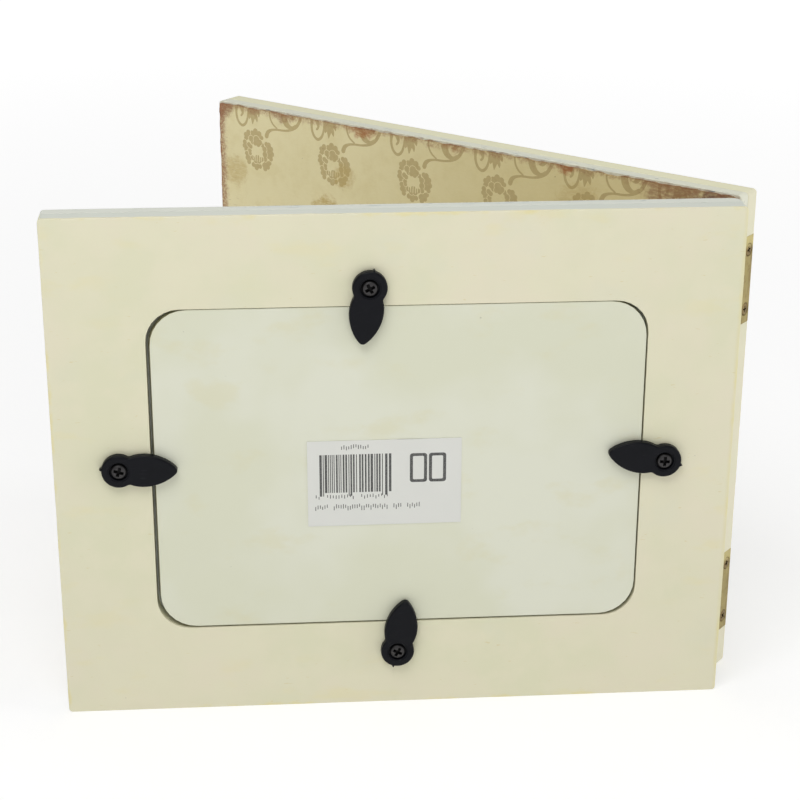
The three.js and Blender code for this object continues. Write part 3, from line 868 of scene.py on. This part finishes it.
FERN = (
    ((-1.7, 19.5, 1.2), (-1.6, 16.6, 1.9), (-1.8, 13.6, 1.8), (-2.2, 11.0, 0.95), (-2.4, 9.0, 0.2)),
    ((-1.4, 13.4, 0.9), (-0.5, 11.2, 0.7), (-0.2, 9.9, 0.15)),
    ((-0.6, 15.0, 0.9), (0.5, 13.1, 0.7), (0.8, 12.0, 0.15)),
    ((-0.5, 17.4, 0.9), (0.7, 15.6, 0.7), (1.1, 14.5, 0.15)),
    ((-2.6, 13.4, 0.9), (-3.7, 11.6, 0.7), (-4.0, 10.6, 0.15)),
    ((-2.8, 16.0, 0.9), (-4.0, 14.2, 0.65), (-4.4, 13.2, 0.15)),
)
SCROLLS = (
    ((4.3, 5.4, 0.9), (5.0, 6.9, 0.8), (6.6, 7.9, 0.5), (9.1, 8.4, 0.4), (13.0, 8.6, 0.4), (16.4, 9.4, 0.5),
     (19.2, 11.3, 0.65), (21.2, 15.0, 0.6), (21.4, 18.6, 0.5), (19.8, 21.2, 0.5), (17.2, 21.4, 0.7)),
    ((16.2, 19.4, 0.5), (14.0, 18.2, 1.0), (12.9, 15.8, 1.3), (13.0, 13.0, 1.35), (14.3, 10.9, 1.15),
     (16.5, 10.1, 0.6), (18.4, 11.2, 0.35)),
    ((18.6, 16.8, 0.2), (18.2, 15.0, 0.9), (17.2, 13.6, 0.7), (15.9, 13.4, 0.2)),
    ((9.4, 8.9, 0.3), (7.3, 10.4, 0.35), (6.1, 12.7, 0.35), (6.2, 15.6, 0.3), (8.0, 18.4, 0.35),
     (10.8, 19.6, 0.6)),
    ((-9.0, 19.2, 0.6), (-9.7, 15.8, 0.8), (-10.3, 12.6, 0.55), (-9.9, 10.0, 0.5), (-8.7, 8.3, 0.5),
     (-7.2, 7.8, 0.55), (-5.6, 9.0, 0.5), (-4.6, 11.6, 0.45), (-4.0, 15.2, 0.6)),
    ((-9.4, 17.4, 0.9), (-8.4, 15.6, 1.1), (-7.4, 13.6, 0.8), (-7.2, 12.2, 0.5), (-7.9, 11.3, 0.4)),
)
REPEAT_ACROSS = 36.3
REPEAT_DOWN = 60.0
FIRST_FLOWER = (200.7, 156.05)
MOTIF_STRETCH = 1.05


def motif(x, z, turn):
    """Layers of one repeat round a flower at (x, z). turn is -1 where x runs towards the reader's left."""
    def placed(points):
        return [(x + turn * u, z + MOTIF_STRETCH * w, r) for u, w, r in points]

    def strokes(group):
        return [loop for points in group for loop in stroke(placed(points))]

    layers = [(1, strokes((*FERN, *SCROLLS)))]
    for lobes in PETALS:
        layers.append((0, petal(placed(lobes), PETAL_GROWTH + PETAL_LINE)))
        layers.append((1, petal(placed(lobes), PETAL_GROWTH)))
    return [*layers, (0, petal(placed((HEART,)))), (0, strokes(STAMENS))]


def crosses(loop, low, high):
    """True if a loop comes inside a rectangle."""
    xs, zs = zip(*loop)
    return max(xs) > low.x and min(xs) < high.x and max(zs) > low.z and min(zs) < high.z


def within(loop, low, high):
    """True if the whole of a loop lies inside a rectangle."""
    return all(low.x < x < high.x and low.z < z < high.z for x, z in loop)


def paper_print(side, low, high, hole_low, hole_high):
    """The layers of print that show on a leaf, row below row, each second row half a repeat on."""
    whole = {}
    for row in range(3):
        z = FIRST_FLOWER[1] - row * REPEAT_DOWN
        shift = REPEAT_ACROSS / 2 if row % 2 else 0
        for column in range(-1, 7):
            x = FIRST_FLOWER[0] + shift - column * REPEAT_ACROSS
            for level, (value, loops) in enumerate(motif(x, z, HANDS[side])):
                shown = [loop for loop in loops if crosses(loop, low, high)]
                shown = [loop for loop in shown if not within(loop, hole_low, hole_high)]
                whole.setdefault(level, (value, []))[1].extend(shown)
    return list(whole.values())


EDGE_TEAR = 0.7
WINDOW_TEAR = 0.25


def torn(points, seed, amount):
    """A rubbed paper edge: drawn in unevenly, with a few deeper bites."""
    rubbed = []
    for i, (x, z) in enumerate(points):
        before, after = points[i - 1], points[(i + 1) % len(points)]
        along = Vector((after[0] - before[0], after[1] - before[1])).normalized()
        bite = max(0.0, wander(x, z, seed + 3, 11, 1.0) - 0.15) * 1.2
        depth = amount * (0.4 + wander(x, z, seed, 3.2, 0.6) + wander(x, z, seed + 7, 1.1, 0.3) + bite)
        rubbed.append((x - along.y * depth, z + along.x * depth))
    return rubbed


def facing_paper(side, look):
    node = f"{side}_facing_paper"
    low, high = span(side, node)
    hole_low, hole_high = span(side, node, inner=True)
    dense = (170, 130)
    edge = torn(outline((low.x, low.z), (high.x, high.z), CORNER_RADIUS, dense), 2.0 + HANDS[side], EDGE_TEAR)
    hole = outline((hole_low.x, hole_low.z), (hole_high.x, hole_high.z), 0.5, (60, 40), 3)
    hole = torn(hole[::-1], 5.0, WINDOW_TEAR)
    layers = paper_print(side, low, high, hole_low, hole_high)
    back = span(side, f"{side}_face_board")[0].y
    mesh = printed_sheet(edge, [hole], layers, low.y, back - GLUE)
    settle(mesh, side, node, look)


TICK = 0.26
LABEL_WIDTH = 50.0
LABEL_HEIGHT = 30.0
LABEL_TILT = math.radians(-0.15)


def rectangle(left, top, width, height):
    """Corners of a printed bar, measured from a label's left and top edges."""
    return [(left, -top), (left + width, -top), (left + width, -top - height), (left, -top - height)]


def print_line(draw, left, top, width, height, words):
    """A line of fine upright ticks of uneven height that stands for lettering, with gaps between words."""
    loops, at = [], left
    for letters in words:
        for _ in range(2 * letters):
            start = draw.choice((0.0, 0.1, 0.3)) * height
            loops.append(rectangle(at, top + start, TICK, draw.uniform(0.45, 0.7) * height))
            at += width / 2
        at += width
    return loops


def frame_strips(outer, inner):
    """The border between two outlines with equal points, as one strip for each step round it."""
    size = len(outer)
    return [[outer[k], outer[(k + 1) % size], inner[(k + 1) % size], inner[k]] for k in range(size)]


def label_loops():
    """The label's print: a bar pattern that encodes nothing, ticks for lettering, and a two-pane sign."""
    draw = random.Random(5)
    loops = print_line(draw, 11.0, 1.3, 1.55, 2.2, (6,))
    at, count = 3.9, 0
    while at < 27.9:
        thick = draw.choice((0.3, 0.3, 0.55, 0.8))
        loops.append(rectangle(at, 4.8, thick, 14.6 if count % 12 < 2 else 13.4))
        at += thick + draw.choice((0.3, 0.45, 0.7))
        count += 1
    loops += print_line(draw, 2.6, 18.9, 1.85, 1.9, (1, 5, 5))
    loops += print_line(draw, 2.4, 22.3, 1.5, 2.4, (3, 12, 2, 3))
    for left in (33.2, 39.4):
        outer = outline((left, -15.2), (left + 5.6, -5.0), 0.9, (1, 1), 4)
        inner = outline((left + 1.0, -14.2), (left + 4.6, -6.0), 0.4, (1, 1), 4)
        loops += frame_strips(outer, inner)
    return loops


def label(look):
    side, node = "right", "right_label"
    points = row_points(node, LEAVES[side])
    middle = (points.min(0) + points.max(0)) / 2
    turn = Matrix.Rotation(LABEL_TILT, 2)

    def placed(loop):
        """From the label's own left and top, as seen from the back, to leaf coordinates."""
        found = []
        for u, w in loop:
            spot = turn @ Vector((LABEL_WIDTH / 2 - u, w + LABEL_HEIGHT / 2))
            found.append((middle[0] + spot.x, middle[2] + spot.y))
        return found

    edge = placed(outline((0, -LABEL_HEIGHT), (LABEL_WIDTH, 0), 0.25, (12, 8), 3))
    board = span(side, f"{side}_backing_board")[1].y
    loops = [placed(loop) for loop in label_loops()]
    mesh = printed_sheet(edge, [], [(1, loops)], points.max(0)[1], board + GLUE)
    settle(mesh, side, node, look)


# Turn buttons and screws -----------------------------------

BUTTON_PLACES = ("top", "free_side", "hinge_side", "bottom")
HINGE_SCREWS = tuple((level, mark) for level in ("upper", "lower") for mark in ("a", "b"))
BUTTON_HEAD = 5.55
BUTTON_TIP = 18.65
BUTTON_WAIST = (3.6, 4.65)
BUTTON_RISE = 2.4
BUTTON_EDGE = 0.6
SPRUE = {"reach": 0.65, "start": 0.15, "end": 1.15}
RECESS = {"lip": 3.55, "radius": 3.0, "floor": 1.25}
BUTTON_BORE = 1.6
BUTTON_SHANK = 1.4
HINGE_SHANK = 1.1
KNUCKLE_HALF = 5.0
KNUCKLE_GAP = 0.15
ROLL_END = math.radians(63)
SHEET_EDGE = 0.1


def bezier(start, first, second, end, steps):
    for k in range(1, steps + 1):
        t = k / steps
        parts = ((1 - t) ** 3, 3 * t * (1 - t) ** 2, 3 * t * t * (1 - t), t ** 3)
        yield tuple(sum(p * c[i] for p, c in zip(parts, (start, first, second, end))) for i in (0, 1))


def button_outline():
    """A turn button's outline, tip towards +u: a leaf, a round head, and the nub left by its sprue."""
    half = [(BUTTON_TIP - 0.05, 0.45), (BUTTON_TIP - 0.25, 0.85)]
    half += list(bezier(half[-1], (BUTTON_TIP - 2.8, 3.9), (9.4, 6.95), BUTTON_WAIST, 18))
    start = math.radians(58)
    for k in range(17):
        angle = start + (math.pi - start) * k / 17
        half.append((BUTTON_HEAD * math.cos(angle), BUTTON_HEAD * math.sin(angle)))
    near, far = SPRUE["start"], SPRUE["end"]
    middle = (near + far) / 2
    nub = [(-BUTTON_HEAD - share * SPRUE["reach"], -w) for share, w in ((0, near), (1, middle), (0, far))]
    below = [(u, -w) for u, w in reversed(half) if u > -BUTTON_HEAD * 0.97]
    return [(BUTTON_TIP, 0.0), *half, *nub, *below]


def inset_outline(points, amount):
    """The outline drawn in by an amount along its normals."""
    drawn = []
    for i, (u, w) in enumerate(points):
        before, after = points[i - 1], points[(i + 1) % len(points)]
        along = Vector((after[0] - before[0], after[1] - before[1])).normalized()
        drawn.append((u - along.y * amount, w + along.x * amount))
    return drawn


def round_loop(points, radius):
    """A circle round the screw with one point in the direction of each outline point."""
    return [(radius * u / math.hypot(u, w), radius * w / math.hypot(u, w)) for u, w in points]


def button_shape():
    """A turn button as a closed ring loft: up its outside, over its top, down the recess and the bore."""
    rim = button_outline()
    levels = [(inset_outline(rim, 0.25), 0.0), (rim, 0.25), (rim, BUTTON_RISE - BUTTON_EDGE)]
    for k in range(1, 5):
        angle = math.pi / 2 * k / 4
        drawn = BUTTON_EDGE * (1 - math.cos(angle))
        levels.append((inset_outline(rim, drawn), BUTTON_RISE - BUTTON_EDGE * (1 - math.sin(angle))))
    lip, radius, floor = RECESS["lip"], RECESS["radius"], RECESS["floor"]
    levels += [
        (round_loop(rim, lip), BUTTON_RISE),
        (round_loop(rim, lip - 0.15), BUTTON_RISE - 0.2),
        (round_loop(rim, radius + 0.1), BUTTON_RISE - 0.25),
        (round_loop(rim, radius), BUTTON_RISE - 0.4),
        (round_loop(rim, radius - 0.1), floor),
        (round_loop(rim, BUTTON_BORE), floor),
        (round_loop(rim, BUTTON_BORE), 0.0),
    ]
    return [[(u, rise, w) for u, w in loop] for loop, rise in levels]


def turn_button(side, place, look):
    node = f"{side}_button_{place}"
    pivot = LEAVES[side].inverted() @ Vector(JOINTS[f"{side}_turn_{place}"]["pos_m"])
    points = row_points(node, LEAVES[side])
    away = points[:, (0, 2)] - np.array([pivot.x, pivot.z])
    tip = away[np.argmax((away ** 2).sum(1))]
    aim = math.atan2(tip[1], tip[0])
    seat = DEPTH + GLUE
    rise = (points.max(0)[1] - seat) / BUTTON_RISE
    cos, sin = math.cos(aim), math.sin(aim)

    def put(u, d, w):
        return (pivot.x + u * cos - w * sin, seat + d * rise, pivot.z + u * sin + w * cos)

    mesh = mesh_of([loft([[put(*point) for point in loop] for loop in button_shape()], closed=True)])
    settle(mesh, side, node, look, body=f"{side}_turn_button_{place}", sharp=40)


def threaded(radius, start, end, pitch=0.9):
    """Profile of a screw's shank as close ridges, down to a point."""
    profile = []
    at = start
    while at > end + 2 * pitch:
        profile += [(radius * 0.78, at), (radius, at - pitch / 2)]
        at -= pitch
    return profile + [(radius * 0.78, at), (0.15, end)]


def blade(place, length, width, depth, across):
    """One arm of a cross recess: a bar that narrows with depth."""
    def corners(share, d):
        u, w = length / 2 * share, width / 2 * (0.4 + share * 0.6)
        bar = [(u, w), (-u, w), (-u, -w), (u, -w)]
        return [place(*((a, d, b) if across else (b, d, a))) for a, b in bar]
    return loft([corners(1.0, 0.5), corners(1.0, 0.0), corners(0.6, -depth)])


def screw_mesh(head, shank, reach, place, recess, steps=40):
    """A screw with its head's top at distance 0 and its point at -reach."""
    profile = [(0.2, 0.0), *head, *threaded(shank, head[-1][1], -reach)]
    body = mesh_of([lathe(profile, place, steps)])
    length, width, depth = recess
    cross = [blade(place, length, width, depth, across) for across in (True, False)]
    return carved(body, cross)


PAN_HEAD = ((1.2, -0.03), (1.8, -0.14), (2.25, -0.36), (2.5, -0.68), (2.55, -0.95), (2.42, -1.15),
            (1.4, -1.15))
FLAT_HEAD = ((1.6, -0.02), (1.95, -0.1), (2.05, -0.22), (1.1, -1.25))


def button_screw(side, place, look):
    node = f"{side}_button_screw_{place}"
    low, high = span(side, node)
    x, z = (low.x + high.x) / 2, (low.z + high.z) / 2
    spin = noise.noise((x, z, 0.5)) * math.pi
    cos, sin = math.cos(spin), math.sin(spin)

    def put(u, d, w):
        return (x + u * cos - w * sin, high.y + d, z + u * sin + w * cos)

    mesh = screw_mesh(PAN_HEAD, BUTTON_SHANK, high.y - low.y, put, (3.5, 1.05, 1.2))
    settle(mesh, side, node, look)


def hinge_screw(side, level, mark, look):
    node = f"{side}_hinge_screw_{level}_{mark}"
    low, high = span(side, node)
    y, z = (low.y + high.y) / 2, (low.z + high.z) / 2
    spin = noise.noise((y, z, 3.5)) * math.pi
    cos, sin = math.cos(spin), math.sin(spin)

    def put(u, d, w):
        return (low.x - d, y + u * cos - w * sin, z + u * sin + w * cos)

    mesh = screw_mesh(FLAT_HEAD, HINGE_SHANK, high.x - low.x, put, (2.3, 0.6, 0.8))
    settle(mesh, side, node, look)


# Hinges ----------------------------------------------------

def sheet_profile(back, thickness):
    """Section of a hinge leaf: a flat plate whose end is rolled round the pin."""
    outer = thickness - PIN_X
    inner = outer - thickness
    steps = 26
    turns = [-k / steps * (2 * math.pi - ROLL_END) for k in range(steps + 1)]
    outside = [(PIN_X + outer * math.cos(a), PIN_Y + outer * math.sin(a)) for a in turns]
    inside = [(PIN_X + inner * math.cos(a), PIN_Y + inner * math.sin(a)) for a in reversed(turns)]
    return [(thickness, back), *outside, *inside, (0.0, back)]


def hinge_plate(side, level, look):
    node = f"{side}_hinge_plate_{level}"
    low, high = span(side, node)
    middle = (low.z + high.z) / 2
    section = sheet_profile(high.y, high.x)
    heights = (low.z, middle, high.z)
    body = mesh_of([loft([[(x, y, z) for x, y in section] for z in heights])])
    bevel(body, SHEET_EDGE)
    clear = (high.x - PIN_X) + KNUCKLE_GAP + PIN_Y
    own = KNUCKLE_HALF - KNUCKLE_GAP if side == "left" else KNUCKLE_HALF + KNUCKLE_GAP
    if side == "left":
        notches = [(low.z - 1, middle - own), (middle + own, high.z + 1)]
    else:
        notches = [(middle - own, middle + own)]
    cutters = [block((low.x - 1, low.y - 1, z0), (high.x + 1, clear, z1)) for z0, z1 in notches]
    for mark in ("a", "b"):
        screw_low, screw_high = span(side, f"{side}_hinge_screw_{level}_{mark}")
        y, z = (screw_low.y + screw_high.y) / 2, (screw_low.z + screw_high.z) / 2
        sink = [(2.35, -0.6), (2.3, 0.05), (1.35, 1.0), (1.35, high.x + 1)]
        cutters.append(lathe(sink, lambda u, d, w, y=y, z=z: (d, y + u, z + w), 36))
    settle(carved(body, cutters), side, node, look, sharp=28)


def hinge_pin(level, look):
    node = f"hinge_pin_{level}"
    points = row_points(node, LEAVES["right"])
    low, high = points.min(0), points.max(0)
    radius = (high[0] - low[0]) / 2
    profile = [(0.15, low[2]), (radius - 0.25, low[2] + 0.05), (radius, low[2] + 0.3)]
    profile += [(radius, high[2] - 0.3), (radius - 0.25, high[2] - 0.05), (0.15, high[2])]
    mesh = mesh_of([lathe(profile, lambda u, d, w: (PIN_X + u, PIN_Y + w, d), 28)])
    settle(mesh, "right", node, look)


# Studio ----------------------------------------------------

FLOOR_REACH = 4


def studio_floor():
    """A pale floor that glows a little more further out, where the lamps reach it less."""
    mesh = bpy.data.meshes.new("floor")
    corners = [(-FLOOR_REACH, -FLOOR_REACH), (FLOOR_REACH, -FLOOR_REACH), (FLOOR_REACH, FLOOR_REACH),
               (-FLOOR_REACH, FLOOR_REACH)]
    mesh.from_pydata([(x, y, 0) for x, y in corners], [], [(0, 1, 2, 3)])
    floor = bpy.data.objects.new("floor", mesh)
    bpy.context.scene.collection.objects.link(floor)
    look = Look("floor", Base_Color=(0.66, 0.66, 0.66, 1), Roughness=0.9, Specular_IOR_Level=0.1)
    place = look.node("TexCoord", {}, output="Object")
    away = look.node("VectorMath", {0: place}, output="Value", operation="LENGTH")
    look.put(look.shader.inputs["Emission Color"], (1, 1, 1, 1))
    glow = look.node("MapRange", {0: away, 1: 0.15, 2: 1.5, 3: 0.44, 4: 0.85})
    look.put(look.shader.inputs["Emission Strength"], glow)
    mesh.materials.append(look.material)


# Each lamp's place and size in metres, and its power in watts
LAMPS = {
    "key": ((-0.2, -0.52, 0.86), (0.6, 0.45), 3.8),
    "overhead": ((0, 0.2, 1.25), (1.3, 1.3), 3.4),
    "side": ((1.1, -0.25, 0.35), (0.5, 0.6), 3.0),
}
LAMP_AIM = Vector((0, 0, 0.09))


def area_light(name, where, size, power):
    data = bpy.data.lights.new(name, "AREA")
    data.shape = "RECTANGLE"
    data.size, data.size_y = size
    data.energy = power
    light = bpy.data.objects.new(name, data)
    light.location = where
    light.rotation_euler = (LAMP_AIM - Vector(where)).to_track_quat("-Z", "Y").to_euler()
    light.visible_camera = False
    bpy.context.scene.collection.objects.link(light)


def studio_lights():
    world = bpy.data.worlds.new("studio")
    world.use_nodes = True
    background = world.node_tree.nodes["Background"]
    background.inputs["Color"].default_value = (1, 1, 1, 1)
    background.inputs["Strength"].default_value = 0.3
    bpy.context.scene.world = world
    for name, settings in LAMPS.items():
        area_light(name, *settings)
    bpy.context.scene.view_settings.view_transform = "Standard"


# Where the camera stands, in metres, and how it is turned, in degrees
CAMERA_PLACE = (-0.047333, -0.664052, 0.342509)
CAMERA_TURN = {"yaw": 4.3687, "pitch": 21.6655, "roll": 0.2231}
LENS = 88.75
SENSOR = 36


def camera():
    """The view from behind the right leaf: a long lens, turned a little to the right and looking down."""
    data = bpy.data.cameras.new("camera")
    data.lens = LENS
    data.sensor_width = SENSOR
    yaw, pitch, roll = (math.radians(angle) for angle in CAMERA_TURN.values())
    forward = Vector((math.sin(yaw) * math.cos(pitch), math.cos(yaw) * math.cos(pitch), -math.sin(pitch)))
    level = Vector((math.cos(yaw), -math.sin(yaw), 0))
    upright = level.cross(forward)
    right = math.cos(roll) * level + math.sin(roll) * upright
    up = math.cos(roll) * upright - math.sin(roll) * level
    eye = bpy.data.objects.new("camera", data)
    turn = Matrix((right, up, -forward)).transposed().to_4x4()
    eye.matrix_world = Matrix.Translation(CAMERA_PLACE) @ turn
    bpy.context.scene.collection.objects.link(eye)
    bpy.context.scene.camera = eye


# Assembly --------------------------------------------------

def build_leaf(side, looks):
    facing_paper(side, looks["paper"])
    face_board(side, looks["edge"][side])
    back_ring(side, looks["ring"][side])
    glass(side, looks["glass"])
    photo_card(side, looks["card"])
    backing_board(side, looks["backing"])
    for place in BUTTON_PLACES:
        turn_button(side, place, looks["plastic"])
        button_screw(side, place, looks["steel"])
    for level in ("upper", "lower"):
        hinge_plate(side, level, looks["brass"])
    for level, mark in HINGE_SCREWS:
        hinge_screw(side, level, mark, looks["screw_brass"])


looks = {
    "paper": printed_paper(),
    "edge": {
        "right": edge_paint("edge_paint", rgb(226, 228, 218), rgb(218, 221, 210)),
        "left": edge_paint("edge_paint_warm", rgb(228, 227, 210), rgb(223, 224, 204)),
    },
    "ring": {"right": cream_paint(1.2), "left": cream_paint(9)},
    "glass": clear_glass(),
    "card": insert_card(),
    "backing": backing_paint(),
    "plastic": black_plastic(),
    "steel": screw_steel(),
    "brass": aged_brass("brass", rgb(180, 165, 108), rgb(142, 126, 76), rgb(96, 72, 40)),
    "screw_brass": aged_brass("screw_brass", rgb(152, 132, 86), rgb(114, 92, 54), rgb(56, 40, 24)),
}
for leaf_side in HANDS:
    build_leaf(leaf_side, looks)
label(label_paper())
for hinge_level in ("upper", "lower"):
    hinge_pin(hinge_level, looks["brass"])

studio_floor()
studio_lights()
camera()
